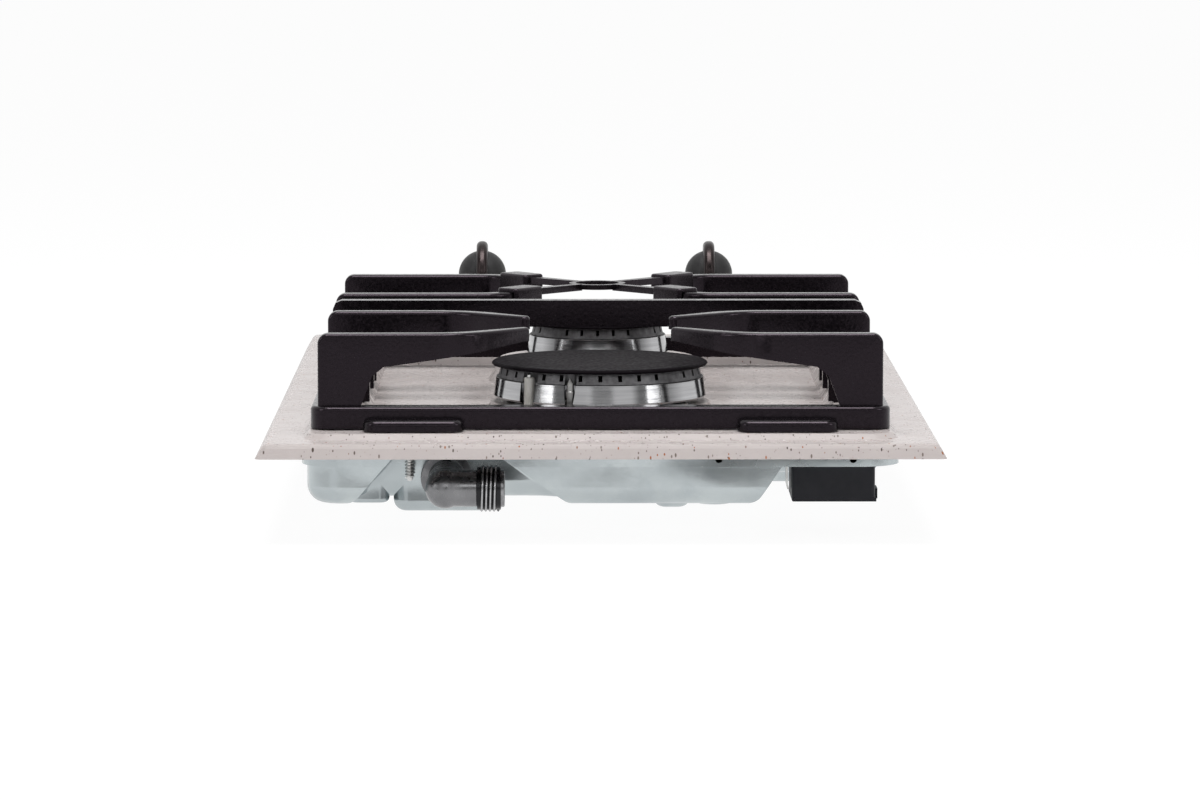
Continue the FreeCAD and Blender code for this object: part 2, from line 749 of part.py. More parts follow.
soften(pan_support, 4.5, outer_corner)
soften(pan_support, 1.6, top_rim)
sk = sketch(pan_support, "XY_Plane", support_low)
rounded(sk, -frame_width / 2, support_y0, frame_width / 2, support_y1, 9)
rounded(sk, frame_bar - frame_width / 2, support_y0 + frame_bar, frame_width / 2 - frame_bar,
    support_y1 - frame_bar, 5)
pad(pan_support, sk, frame_height)
soften(pan_support, 1.8, frame_rim)
bar_y = rear_edge - crossbar_c
sk = sketch(pan_support, "XZ_Plane", -bar_y)
polygon(sk, [
    (-leg_out, support_low), (-leg_out, support_top - 4), (-leg_out + 1.2, support_top - 1.2),
    (-leg_out + 4, support_top), (leg_out - 4, support_top), (leg_out - 1.2, support_top - 1.2),
    (leg_out, support_top - 4), (leg_out, support_low), (inner + 3, support_low), (inner + 3, frame_top),
    (inner - 2, support_top - finger_root - 4), (inner - 7, support_top - crossbar_height),
    (-inner + 7, support_top - crossbar_height), (-inner + 2, support_top - finger_root - 4),
    (-inner - 3, frame_top), (-inner - 3, support_low),
])
pad(pan_support, sk, finger_width, middle=True)
sk = sketch(pan_support, "XY_Plane", support_low)
for side in (-1, 1):
    mid = lug_offset * side
    rounded(sk, mid - lug_length / 2, support_y1 - 4, mid + lug_length / 2, support_y1 + lug_reach, 6)
pad(pan_support, sk, lug_height)
soften(pan_support, lug_round, lug_rim)
FOOT_SPOTS = []
for side in (-1, 1):
    for y in (number(support_y0) + 8, number(support_y1) - 8):
        FOOT_SPOTS.append((side * (number(frame_width) / 2 - 6), y))
sk = sketch(pan_support, "XY_Plane", support_low + 5)
for x, y in FOOT_SPOTS:
    circle(sk, x, y, 2.6)
pocket(pan_support, sk, 6)
shape_node("support_feet", [
    turned([
        (0, ridge_top), (4.4, ridge_top), (4.4, support_low), (2.5, support_low), (2.5, support_low + 4.5),
        (0, support_low + 4.5),
    ], x, y) for x, y in FOOT_SPOTS
])


# small pot reducer: four saddles over the front fingers' tips, four tapered arms and a ring
reducer_top = support_top + 1.8
arm_top = reducer_top - 1.3
pot_reducer = body("pot_reducer")
sk = sketch(pot_reducer, "XY_Plane", reducer_top - 3.8)
circle(sk, 0, front_y, 13.6)
circle(sk, 0, front_y, 10.4)
pad(pot_reducer, sk, 2.4)


def saddle_spot(side, towards, u, v):
    """A spot in a saddle's own plan frame: u runs out along the finger from its tip, v across it."""
    run_x = side * (number(front_finger_bend) - number(finger_reach))
    run_y = -towards * number(front_tip_shift)
    long = math.hypot(run_x, run_y)
    tip_x = side * number(finger_reach)
    tip_y = number(front_y) - towards * (number(front_finger_gap) - number(front_tip_shift))
    return tip_x + (u * run_x - v * run_y) / long, tip_y + (u * run_y + v * run_x) / long


def saddle_plan(sk, side, towards, u0, u1, wide, r):
    """A saddle's outline in plan, its corners rounded by r."""
    v = wide / 2
    near = r * (1 - math.sqrt(0.5))

    def at(u, across):
        return saddle_spot(side, towards, u, across)

    bent(sk, [
        at(u0 + r, -v), (*at(u1 - r, -v), at(u1 - near, near - v)),
        at(u1, r - v), (*at(u1, v - r), at(u1 - near, v - near)),
        at(u1 - r, v), (*at(u0 + r, v), at(u0 + near, v - near)),
        at(u0, v - r), (*at(u0, r - v), at(u0 + near, near - v)),
    ])


PAIRS = [(side, towards) for side in (-1, 1) for towards in (-1, 1)]
sk = sketch(pot_reducer, "XY_Plane", reducer_top - 4.4)
for side, towards in PAIRS:
    end_x, end_y = saddle_spot(side, towards, -4.2, 0)
    rise = end_y - number(front_y)
    long = math.hypot(end_x, rise)
    cos = end_x / long
    sin = rise / long
    polygon(sk, [
        (12 * cos + 1.7 * sin, front_y + (12 * sin - 1.7 * cos)), (end_x + 3.2 * sin, end_y - 3.2 * cos),
        (end_x - 3.2 * sin, end_y + 3.2 * cos), (12 * cos - 1.7 * sin, front_y + (12 * sin + 1.7 * cos)),
    ])
pad(pot_reducer, sk, arm_top - reducer_top + 4.4)
sk = sketch(pot_reducer, "XY_Plane", reducer_top - 8.5)
for side, towards in PAIRS:
    saddle_plan(sk, side, towards, -5.0, 16.0, 12.4, 2.4)
pad(pot_reducer, sk, 8.5)
soften(pot_reducer, 1.2, lambda edge: level(edge, reducer_top))
sk = sketch(pot_reducer, "XY_Plane", support_top)
for side, towards in PAIRS:
    polygon(sk, [saddle_spot(side, towards, u, v) for u, v in ((-3.4, -4.6), (18, -4.6), (18, 4.6),
        (-3.4, 4.6))])
pocket(pot_reducer, sk, 12)


# knobs, spindles and taps
def tap(name, side):
    x = knob_offset * side
    knob = body(name + "_knob", x, knob_y)
    r = dome_radius
    bore = spindle_radius + 0.06
    revolve(knob, [
        (bore, knob_foot + 2.5), (8, knob_foot + 2.5), (8, knob_foot + 19), (r - 2.2, knob_foot + 19),
        (r - 2.2, knob_foot + 14),
        (knob_foot_radius - 2.2, knob_foot + 1.6), (knob_foot_radius - 1.8, knob_foot),
        (knob_foot_radius, knob_foot),
        (knob_foot_radius, knob_foot + 1.8), (r + 2.4, knob_foot + 7), (r, knob_foot + 14),
        (r, dome_centre), (0, dome_centre),
        (0, dome_centre - 8), (bore, dome_centre - 8),
    ])
    soften(knob, 5.0, lambda edge: level(edge, knob_foot + 7))
    ball = knob.newObject("PartDesign::AdditiveSphere", name + "_dome")
    bind(ball, "Radius", r)
    bind(ball, "Placement.Base.z", dome_centre)
    ball.Angle1 = 0
    doc.recompute()
    sk = sketch(knob, "XY_Plane", knob_foot + 2.5)
    rectangle(sk, spindle_radius - 0.92, -3.2, spindle_radius + 1, 3.2)
    pad(knob, sk, dome_centre - 8 - knob_foot - 2.5)
    sk = sketch(knob, "XZ_Plane")
    rectangle(sk, -handle_width / 2 - 0.02, dome_centre - 6.5, handle_width / 2 + 0.02, dome_centre + r + 5)
    pocket(knob, sk, 60, middle=True)

    handle = body(name + "_knob_handle", x, knob_y)
    sk = sketch(handle, "YZ_Plane")
    reach = r + handle_rise
    low = dome_centre - 6.5
    ends = [(-reach, dome_centre), (-reach + 0.6, dome_centre - 2.6), (-r - 0.4, dome_centre - 3.4),
        (-r + 0.2, low),
            (r - 0.2, low), (r + 0.4, dome_centre - 3.4), (reach - 0.6, dome_centre - 2.6),
            (reach, dome_centre)]
    flat = [V(number(a), number(b), 0) for a, b in ends]
    for i in range(7):
        sk.addGeometry(Part.LineSegment(flat[i], flat[i + 1]), False)
    sk.addGeometry(Part.Arc(flat[7], V(0, number(dome_centre) + number(reach), 0), flat[0]), False)
    for i in range(8):
        sk.addConstraint(Sketcher.Constraint("Coincident", i, 2, (i + 1) % 8, 1))
    fix(sk, "DistanceY", (-1, 1, 7, 3), dome_centre)
    for i, (a, b) in enumerate(ends):
        first = (-1, 1, i, 1)
        fix(sk, "DistanceX", first, a)
        fix(sk, "DistanceY", first, b)
    pad(handle, sk, handle_width, middle=True)
    soften(handle, 2.4, lambda edge: edge.Curve.TypeId == "Part::GeomCircle")

    spindle = body(name + "_spindle", x, knob_y)
    s = spindle_radius
    revolve(spindle, [
        (0, -14), (s - 0.6, -14), (s, -13), (s, 1.5), (s + 2.2, 1.5), (s + 2.2, 3), (s, 3),
        (s, dome_centre - 9.2),
        (s - 0.8, dome_centre - 8.4), (0, dome_centre - 8.4),
    ])
    for low, long in ((knob_foot + 2, 40), (-14.5, 6.5)):
        sk = sketch(spindle, "XY_Plane", low + long)
        rectangle(sk, s - 1, -5, s + 1, 5)
        pocket(spindle, sk, long)

    plug = body(name + "_tap_plug", x, knob_y)
    revolve(plug, [(0, -26), (5, -26), (6.2, -12), (s + 0.06, -12), (s + 0.06, -20), (0, -20)])
    sk = sketch(plug, "XY_Plane", -20)
    rectangle(sk, s - 0.92, -2.7, s + 0.5, 2.7)
    pad(plug, sk, 7.0)

    valve = body(name + "_tap_body", x, knob_y)
    revolve(valve, [
        (0, -29), (11, -29), (11, -10), (13, -10), (13, -8), (6.4, -8), (6.4, -11.9), (6.25, -12),
        (5.05, -26.05), (0, -26.05),
    ])
    sk = sketch(valve, "XZ_Plane", -9)
    circle(sk, 0, -15, 4.8)
    pad(valve, sk, 7, back=True)
    sk = sketch(valve, "XZ_Plane", -9.5)
    circle(sk, 0, -15, 2.5)
    pocket(valve, sk, 8)
    sk = sketch(valve, "XZ_Plane", 8)
    rectangle(sk, -8, -22, 8, -10)
    pad(valve, sk, 6.3)

    switch = body(name + "_ignition_switch", x, knob_y)
    sk = sketch(switch, "XY_Plane", -8)
    rectangle(sk, -9, 7.5, 9, 16)
    pad(switch, sk, 7.5)
    sk = sketch(switch, "XY_Plane", -3.2)
    rectangle(sk, -2, 6.7, 2, 8)
    pad(switch, sk, 1.2)

    grommet = body(name + "_spindle_grommet", x, knob_y)
    under = rim_height - sheet_metal
    revolve(grommet, [
        (s + 0.6, under - 1.2), (s + 4.4, under - 1.2), (s + 4.4, under), (s + 2.95, under),
        (s + 2.95, rim_height),
        (s + 5.2, rim_height), (s + 4.6, rim_height + 1.2), (s + 0.6, rim_height + 1.6),
    ])
    spring = doc.addObject("Part::Feature", name + "_return_spring")
    spring.Label = name + "_return_spring"
    helix = Part.makeHelix(2.0, 8.0, number(s) + 1.3)
    near = number(s) + 0.9
    far = number(s) + 1.7
    ring = Part.makePolygon([V(near, 0, -0.4), V(far, 0, -0.4), V(far, 0, 0.4), V(near, 0, 0.4),
        V(near, 0, -0.4)])
    coil = Part.Wire(helix.Edges).makePipeShell([ring], True, True)
    coil.translate(V(number(x), number(knob_y), -7.4))
    spring.Shape = coil
    nodes.append(spring)


tap("left", -1)
tap("right", 1)

# bottom casing: band under the plate, shallow rear pan, deeper front pan, two rear niches, pressed bumps
PAN_ROUND = 8
DEEP_ROUND = 6
BUMP_ROUND = 0.8
BUMPS = (
    (47.0, 138.0, 92.0, 188.0, 6.5, 6.3),
    (94.0, 140.0, 112.0, 188.0, 5.0, 2.4),
    (-40.0, 150.0, -24.0, 186.0, 6.0, 4.9),
    (-61.0, 160.0, -41.0, 181.0, 9.9, 4.4),
)


def tub(name, gap):
    """The casing's form as a solid, moved inward by gap."""
    made = body(name, keep=False)
    x = casing_width / 2 - gap
    y1 = rear_edge - casing_rear - gap
    y0 = rear_edge - casing_front + gap
    floor = -band_bottom + gap
    bay_y = rear_edge - bay_depth
    sk = sketch(made, "XY_Plane", floor)
    rounded(sk, -x, y0, x, y1, 18 - gap)
    pad(made, sk, rim_height - sheet_metal - floor + (0 if number(gap) == 0 else 2))
    pan = -pan_bottom + gap
    sk = sketch(made, "XY_Plane", pan)
    rounded(sk, 2.4 - x, y0 + 2.4, x - 2.4, y1 - 2.4, 15 - gap)
    pad(made, sk, floor - pan)
    low = sketch(made, "XY_Plane", pan - 0.5)
    rounded(low, inlet_offset - 55 - gap, niche_back - gap, inlet_offset + 42 + gap, rear_edge + 20, 6)
    high = sketch(made, "XY_Plane", -inlet_ceiling + gap)
    rounded(high, inlet_offset - 24 - gap, niche_back - gap, inlet_offset + 23 + gap, rear_edge + 20, 6)
    loft(made, low, [high], cut=True)
    low = sketch(made, "XY_Plane", pan - 0.5)
    rounded(low, -140 - gap, bay_y - gap, bay_slope - bay_edge + gap, rear_edge + 20, 6)
    high = sketch(made, "XY_Plane", floor)
    rounded(high, -140 - gap, bay_y - gap, gap - bay_edge, rear_edge + 20, 6)
    loft(made, low, [high], cut=True)
    soften(made, PAN_ROUND - gap, lambda edge: level(edge, pan))
    deep = -deep_bottom + gap
    high = sketch(made, "XY_Plane", pan + 0.5)
    front = rear_edge - deep_start
    rounded(high, 6 - x, y0 + 6, x - 6, front - gap, 14 - gap)
    low = sketch(made, "XY_Plane", deep)
    rounded(low, 12 - x, y0 + 10, x - 12, front - 16 - gap, 12 - gap)
    loft(made, low, [high])
    soften(made, DEEP_ROUND - gap, lambda edge: level(edge, deep))
    for x0, y0, x1, y1, r, drop in BUMPS:
        sk = sketch(made, "XY_Plane", pan - drop)
        rounded(sk, x0 + gap, y0 + gap, x1 - gap, y1 - gap, r - gap)
        pad(made, sk, drop + 9.5)
        soften(made, drop * BUMP_ROUND - gap, lambda edge: level(edge, pan - drop))
    return made


casing_outer = tub("casing_outer", 0)
sk = sketch(casing_outer, "XY_Plane", rim_height - sheet_metal - casing_metal)
wide = casing_width / 2 + 2
rounded(sk, -wide, rear_edge - casing_front - 3, wide, rear_edge - casing_rear + 3, 20)
pad(casing_outer, sk, casing_metal)
casing_inner = tub("casing_inner", casing_metal)
inlet_y = rear_edge - inlet_depth
elbow_hole = cylinder("elbow_hole", 7.0, 60, inlet_offset, 160, -inlet_drop)
elbow_hole.Placement.Rotation = FreeCAD.Rotation(V(1, 0, 0), -90)
tools = [casing_inner, elbow_hole]
clamp_x = (-52, -52 - clamp_spacing)
for x in clamp_x:
    made = cylinder("clamp_hole", clamp_radius, 12, x, rear_edge - casing_rear - 5, -4.4)
    made.Placement.Rotation = FreeCAD.Rotation(V(1, 0, 0), -90)
    tools.append(made)
SCREWS = [(84.0, 211.0), (84.0, 197.0)]
for x, y in SCREWS:
    tools.append(cylinder("bracket_screw_hole", 1.7, 6, x, y, -inlet_ceiling - 2))
bottom_casing = cut("bottom_casing", casing_outer, tools)

# gas inlet: elbow through the niche wall, nipple as a plain cylinder at the thread's outer diameter
elbow = body("gas_inlet_elbow", inlet_offset, inlet_y, -inlet_drop)
sk = sketch(elbow, "YZ_Plane")
circle(sk, 0, 0, 8)
pad(elbow, sk, 14, back=True)
ball = elbow.newObject("PartDesign::AdditiveSphere", "elbow_ball")
ball.Radius = 8.8
ball.Angle1 = -90
doc.recompute()
sk = sketch(elbow, "XZ_Plane")
circle(sk, 0, 0, 6.5)
pad(elbow, sk, inlet_y - niche_back + 10)
sk = sketch(elbow, "XZ_Plane")
circle(sk, 0, 0, 8)
pad(elbow, sk, inlet_y - niche_back - 2)
sk = sketch(elbow, "XZ_Plane", inlet_y - niche_back - 4)
circle(sk, 0, 0, 11.7)
pad(elbow, sk, 4)
sk = sketch(elbow, "YZ_Plane", -15)
circle(sk, 0, 0, 5)
pocket(elbow, sk, 15, back=True)
sk = sketch(elbow, "XZ_Plane")
circle(sk, 0, 0, 5)
pocket(elbow, sk, 60, back=True)

nipple = body("gas_inlet_nipple", inlet_offset - 14, inlet_y, -inlet_drop)
sk = sketch(nipple, "YZ_Plane")
circle(sk, 0, 0, inlet_radius)
circle(sk, 0, 0, 6)
pad(nipple, sk, inlet_length, back=True)

nut = body("inlet_nut", inlet_offset, niche_back - casing_metal, -inlet_drop)
sk = sketch(nut, "XZ_Plane")
sixth = math.radians(60)
polygon(sk, [(9.3 * math.cos(sixth * i), 9.3 * math.sin(sixth * i)) for i in range(6)])
circle(sk, 0, 0, 6.55)
pad(nut, sk, 6)

bracket = body("inlet_bracket")
sk = sketch(bracket, "XY_Plane", casing_metal - inlet_ceiling)
rectangle(sk, 78, 189.5, 90, 216)
for x, y in SCREWS:
    circle(sk, x, y, 1.7)
pad(bracket, sk, 1.2)
sk = sketch(bracket, "XY_Plane", casing_metal - inlet_ceiling)
rectangle(sk, 88.8, 189.5, 90, 216)
pad(bracket, sk, 5)
head = number(casing_metal) - number(inlet_ceiling) + 1.2
shape_node("bracket_screws", [
    turned([(0, head + 2.2), (1.6, head + 2.2), (3.1, head + 1.0), (3.1, head), (1.5, head),
        (1.5, head - 10.5),
            (0.15, head - 13.5), (0, head - 13.5)], x, y) for x, y in SCREWS
])

GENERATOR_Y = (43, 91)
rail_z = -inlet_drop
shape_node("gas_manifold", [route([
    (inlet_offset, niche_back - 10, rail_z), (inlet_offset, 130, rail_z), (86, 95, rail_z),
    (86, -221, rail_z),
    (-78, -221, rail_z),
], 12, 5.5, 4.4)])
shape_node("rear_supply_tube", [route([
    (knob_offset, knob_y + 16, -15), (knob_offset, knob_y + 35, -15), (45, -135, -15),
    (45, rear_y, -15), (5.5, rear_y, -15),
], 9, 2.5, 1.7)])
shape_node("front_supply_tube", [route([
    (-knob_offset, knob_y + 16, -15), (-knob_offset, front_y, -15), (-5.5, front_y, -15),
], 9, 2.5, 1.7)])
x0, y0 = SPARK["rear"]
shape_node("rear_spark_lead", [route([
    (-98, GENERATOR_Y[1], -4), (-98, 204, -4), (number(x0), 204, -4), (x0, number(y0) + 2.5, -4),
], 5, 1.5)])
x0, y0 = SPARK["front"]
shape_node("front_spark_lead", [route([
    (-98, GENERATOR_Y[0], -4), (-98, front_y - 50.5, -4), (x0, front_y - 50.5, -4),
    (x0, number(y0) - 2.5, -4),
], 8, 1.5)])
x0, y0 = PROBE["rear"]
shape_node("rear_thermocouple_lead", [route([
    (x0, y0, -3), (x0, y0, -10), (20, 178, -10), (50, 160, -10), (50, 10, -10), (50, -20, -25.5),
    (50, -160, -25.5),
    (knob_offset, knob_y + 24, -25.5), (knob_offset, knob_y + 11.1, -25.5),
], 4, 1.0)])
x0, y0 = PROBE["front"]
shape_node("front_thermocouple_lead", [route([
    (x0, y0, -3), (x0, y0, -25.5), (-40, front_y - 80.5, -25.5), (-knob_offset, knob_y + 35, -25.5),
    (-knob_offset, knob_y + 11.1, -25.5),
], 4, 1.0)])

generator = body("spark_generator")
sk = sketch(generator, "XY_Plane", casing_metal - pan_bottom)
rounded(sk, -118, GENERATOR_Y[0], -78, GENERATOR_Y[1], 3)
pad(generator, sk, pan_bottom - casing_metal - 2)
tap_bracket = body("tap_bracket")
sk = sketch(tap_bracket, "XZ_Plane", -knob_y)
floor = casing_metal - deep_bottom
polygon(sk, [
    (-84, floor), (-74, floor), (-74, -30.2), (74, -30.2), (74, floor), (84, floor), (84, floor + 1.2),
    (75.2, floor + 1.2),
    (75.2, -29), (-75.2, -29), (-75.2, floor + 1.2), (-84, floor + 1.2),
])
pad(tap_bracket, sk, 20, middle=True)

# terminal box in the other niche, with a hinged lid
box_x0 = -box_offset - box_length
box_x1 = -box_offset
terminal_box = body("terminal_box")
sk = sketch(terminal_box, "XY_Plane", -box_bottom)
rounded(sk, box_x0, 178, box_x1, 213, 2)
pad(terminal_box, sk, box_bottom - band_bottom)
sk = sketch(terminal_box, "XY_Plane", -band_bottom - 1.6)
rounded(sk, box_x0 + 1.6, 179.6, box_x1 - 1.6, 211.4, 1)
pocket(terminal_box, sk, 30)
sk = sketch(terminal_box, "XZ_Plane", -176)
circle(sk, box_x0 + 11, -14.2, 3.8)
pocket(terminal_box, sk, 12)
lid = body("terminal_lid")
sk = sketch(lid, "XY_Plane", -box_bottom - 1.5)
rounded(sk, box_x0 - 0.6, 178, box_x1 - 0.75, 213, 0.5)
pad(lid, sk, 1.5)
sk = sketch(lid, "XZ_Plane", -213)
circle(sk, box_x1 - 0.75, -box_bottom - 0.75, 0.75)
pad(lid, sk, 35)
sk = sketch(lid, "XY_Plane", -box_bottom - 1.5)
rectangle(sk, box_x0 - 1.6, 190, box_x0 - 0.3, 202)
pad(lid, sk, 4.5)
block = body("terminal_block")
sk = sketch(block, "XY_Plane", -band_bottom - 9.5)
rectangle(sk, box_x0 + 5, 186, box_x1 - 5, 204)
pad(block, sk, 7.9)
sk = sketch(block, "XY_Plane", -band_bottom - 6.5)
for i in range(3):
    circle(sk, box_x0 + 10 + 8.2 * i, 190, 2.2)
    circle(sk, box_x0 + 10 + 8.2 * i, 200, 2.2)
pocket(block, sk, 10)
strip = body("earth_strip")
sk = sketch(strip, "XZ_Plane", -205)
polygon(sk, [
    (-80.4, -band_bottom), (-82.8, -band_bottom), (-82.8, -band_bottom - 9), (-83.4, -band_bottom - 11.5),
    (-82.6, -band_bottom - 11.5), (-82.0, -band_bottom - 9), (-82.0, -band_bottom - 1),
    (-80.4, -band_bottom - 1),
])
pad(strip, sk, 8)

# finish: every shape must be sound before it is written
doc.recompute()
for thing in doc.Objects:
    if "Invalid" in thing.State or "Error" in thing.State:
        raise ValueError(thing.Name + " is " + str(thing.State))
os.makedirs("parts", exist_ok=True)
for node in nodes:
    if node.Shape.isNull() or not node.Shape.isValid() or not node.Shape.Solids:
        raise ValueError(node.Label + " has no sound shape")
    node.Shape.exportStep("parts/" + node.Label + ".step")
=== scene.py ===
import bpy
import bmesh
import json
import math
from mathutils import Matrix, Vector


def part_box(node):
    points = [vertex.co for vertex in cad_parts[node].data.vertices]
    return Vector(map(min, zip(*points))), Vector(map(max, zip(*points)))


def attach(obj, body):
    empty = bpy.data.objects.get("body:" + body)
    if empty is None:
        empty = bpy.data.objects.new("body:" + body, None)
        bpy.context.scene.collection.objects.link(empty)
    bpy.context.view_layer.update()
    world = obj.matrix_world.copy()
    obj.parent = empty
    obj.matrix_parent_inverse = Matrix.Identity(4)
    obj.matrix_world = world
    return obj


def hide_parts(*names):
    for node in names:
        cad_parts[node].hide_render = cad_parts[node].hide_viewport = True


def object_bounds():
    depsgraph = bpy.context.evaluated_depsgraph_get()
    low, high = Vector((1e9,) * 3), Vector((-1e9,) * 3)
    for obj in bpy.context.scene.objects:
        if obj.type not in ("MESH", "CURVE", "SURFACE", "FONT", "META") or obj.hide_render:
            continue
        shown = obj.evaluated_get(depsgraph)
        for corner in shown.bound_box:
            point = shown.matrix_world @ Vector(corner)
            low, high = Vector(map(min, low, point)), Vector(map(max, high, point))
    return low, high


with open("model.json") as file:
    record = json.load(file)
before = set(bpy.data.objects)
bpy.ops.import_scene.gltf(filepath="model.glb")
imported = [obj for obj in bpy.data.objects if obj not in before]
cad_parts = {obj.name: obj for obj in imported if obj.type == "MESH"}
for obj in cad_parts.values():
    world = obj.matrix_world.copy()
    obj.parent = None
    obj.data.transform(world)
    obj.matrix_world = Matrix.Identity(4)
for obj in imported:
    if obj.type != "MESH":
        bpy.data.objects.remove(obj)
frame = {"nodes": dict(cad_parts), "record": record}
cad_low, cad_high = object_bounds()
MM = 0.001
nodes = frame["nodes"]
body_of_node = {n: b for b, names in frame["record"]["behaviour"]["bodies"].items() for n in names}
slot_of_node = {p["node"]: p["material_slot"] for p in frame["record"]["subparts"]}

# Most of a noise texture lies between LOW and HIGH. TOP makes the far end of a ramp rarer.
NOISE_LOW = 0.3
NOISE_HIGH = 0.7
NOISE_TOP = 0.75
SPECK_EDGE = 0.07
COAT_ROUGHNESS = 0.1


def add_node(tree, kind, sockets, **settings):
    """A new node of a tree. Each socket takes a link from another node or a plain value."""
    made = tree.nodes.new(kind)
    for key, value in settings.items():
        setattr(made, key, value)
    for key, value in sockets.items():
        if isinstance(value, bpy.types.NodeSocket):
            tree.links.new(value, made.inputs[key])
        else:
            made.inputs[key].default_value = value
    return made


def set_stops(ramp, stops):
    """The stops of a colour ramp, from pairs of place and colour."""
    points = ramp.elements
    while len(points) < len(stops):
        points.new(0.5)
    for point, (where, colour) in zip(points, stops):
        point.position = where
        point.color = (*colour, 1)


class Finish:
    """One procedural finish: a Principled shader and the textures that feed it, on Object coordinates."""

    def __init__(self, name, metal=0.0, coat=0.0, specular=0.5):
        self.material = bpy.data.materials.new(name)
        self.material.use_nodes = True
        self.tree = self.material.node_tree
        self.shader = self.tree.nodes["Principled BSDF"]
        self.shader.inputs["Metallic"].default_value = metal
        self.shader.inputs["Coat Weight"].default_value = coat
        self.shader.inputs["Coat Roughness"].default_value = COAT_ROUGHNESS
        self.shader.inputs["Specular IOR Level"].default_value = specular

    def add(self, kind, sockets, **settings):
        return add_node(self.tree, "ShaderNode" + kind, sockets, **settings)

    def set(self, socket, source):
        self.tree.links.new(source, self.shader.inputs[socket])

    def place(self, stretch=(1, 1, 1)):
        where = self.add("TexCoord", {}).outputs["Object"]
        return self.add("Mapping", {"Vector": where, "Scale": stretch}).outputs["Vector"]

    def height(self):
        """Height above the worktop in metres."""
        where = self.add("TexCoord", {}).outputs["Object"]
        return self.add("SeparateXYZ", {"Vector": where}).outputs["Z"]

    def noise(self, scale, detail=3.0, stretch=(1, 1, 1)):
        sockets = {"Vector": self.place(stretch), "Scale": scale, "Detail": detail}
        return self.add("TexNoise", sockets).outputs["Fac"]

    def cells(self, scale, stretch=(1, 1, 1)):
        """Distance from the middle of a cell, and two random numbers for each cell."""
        made = self.add("TexVoronoi", {"Vector": self.place(stretch), "Scale": scale})
        parts = self.add("SeparateColor", {"Color": made.outputs["Color"]})
        return made.outputs["Distance"], parts.outputs["Red"], parts.outputs["Green"]

    def remap(self, value, low, high, to_low, to_high):
        sockets = {"Value": value, 1: low, 2: high, 3: to_low, 4: to_high}
        return self.add("MapRange", sockets).outputs["Result"]

    def varied(self, noise, low, high):
        """A value that follows a noise from low to high."""
        return self.remap(noise, NOISE_LOW, NOISE_HIGH, low, high)

    def math(self, operation, a, b):
        return self.add("Math", {0: a, 1: b}, operation=operation).outputs["Value"]

    def ramp(self, value, *stops):
        made = self.add("ValToRGB", {"Fac": value})
        set_stops(made.color_ramp, stops)
        return made.outputs["Color"]

    def mix(self, share, a, b):
        made = self.add("Mix", {0: share, 6: a, 7: b}, data_type="RGBA")
        return made.outputs[2]

    def specks(self, ground, scale, share, size, stretch, *colours):
        """Ground colour with a speck in a share of the cells, reaching up to size from a cell's middle."""
        distance, pick, tone = self.cells(scale, stretch)
        reach = self.remap(pick, 1 - share, 1, 0, size)
        mask = self.remap(self.math("SUBTRACT", reach, distance), 0, SPECK_EDGE, 0, 1)
        return self.mix(mask, ground, self.ramp(tone, *colours))

    def bump(self, height, depth, strength):
        sockets = {"Height": height, "Distance": depth, "Strength": strength}
        self.set("Normal", self.add("Bump", sockets).outputs["Normal"])


def speckled_enamel():
    """Pale enamel with fine grains, and thin upright flecks of dark brown and rust."""
    finish = Finish("speckled_enamel", specular=0.1)
    clouds = finish.noise(35, 4)
    ground = finish.ramp(clouds, (NOISE_LOW, (0.405, 0.366, 0.357)), (NOISE_HIGH, (0.427, 0.388, 0.379)))
    grain = (0.0, (0.20, 0.165, 0.15)), (1.0, (0.38, 0.335, 0.31))
    fleck = (0.0, (0.05, 0.035, 0.03)), (0.76, (0.17, 0.14, 0.125)), (0.86, (0.26, 0.085, 0.025))
    layers = (
        (900, 0.4, 0.3, (1, 1, 0.6), grain),
        (620, 0.85, 0.26, (1, 0.8, 0.45), fleck),
        (330, 0.6, 0.32, (1.7, 1.2, 0.46), fleck),
    )
    for scale, share, size, stretch, colours in layers:
        ground = finish.specks(ground, scale, share, size, stretch, *colours)
    finish.set("Base Color", ground)
    finish.set("Roughness", finish.varied(finish.noise(90), 0.22, 0.32))
    finish.bump(finish.noise(240, 2), 0.00008, 0.4)
    return finish.material


def black_casting(name, ground, fleck, grain, rough, specular):
    """Black vitreous enamel on a casting or a pressing: pebbled, with a few brighter grains that are partly
    real grains and dust and partly painted glints.
    """
    finish = Finish(name, specular=specular)
    finish.shader.inputs["Specular Tint"].default_value = (1, 0.8, 0.96, 1)
    deep = (ground, ground * 0.8, ground)
    shifted_tone = tuple(c * 1.35 for c in deep)
    tone = finish.ramp(finish.noise(55, 5), (NOISE_LOW, deep), (NOISE_TOP, shifted_tone))
    # Brighter grains in the colour: partly real grains and dust, partly painted glints that stand in for
    # sparkle.
    grains_and_painted_glints = (0.0, (fleck * 0.6,) * 3), (1.0, (fleck,) * 3)
    tone = finish.specks(tone, 900, 0.22, 0.22, (1, 1, 1), *grains_and_painted_glints)
    finish.set("Base Color", tone)
    finish.set("Roughness", finish.varied(finish.noise(700, 2), rough - 0.08, rough + 0.1))
    finish.bump(finish.noise(650, 4), grain, 0.8)
    return finish.material


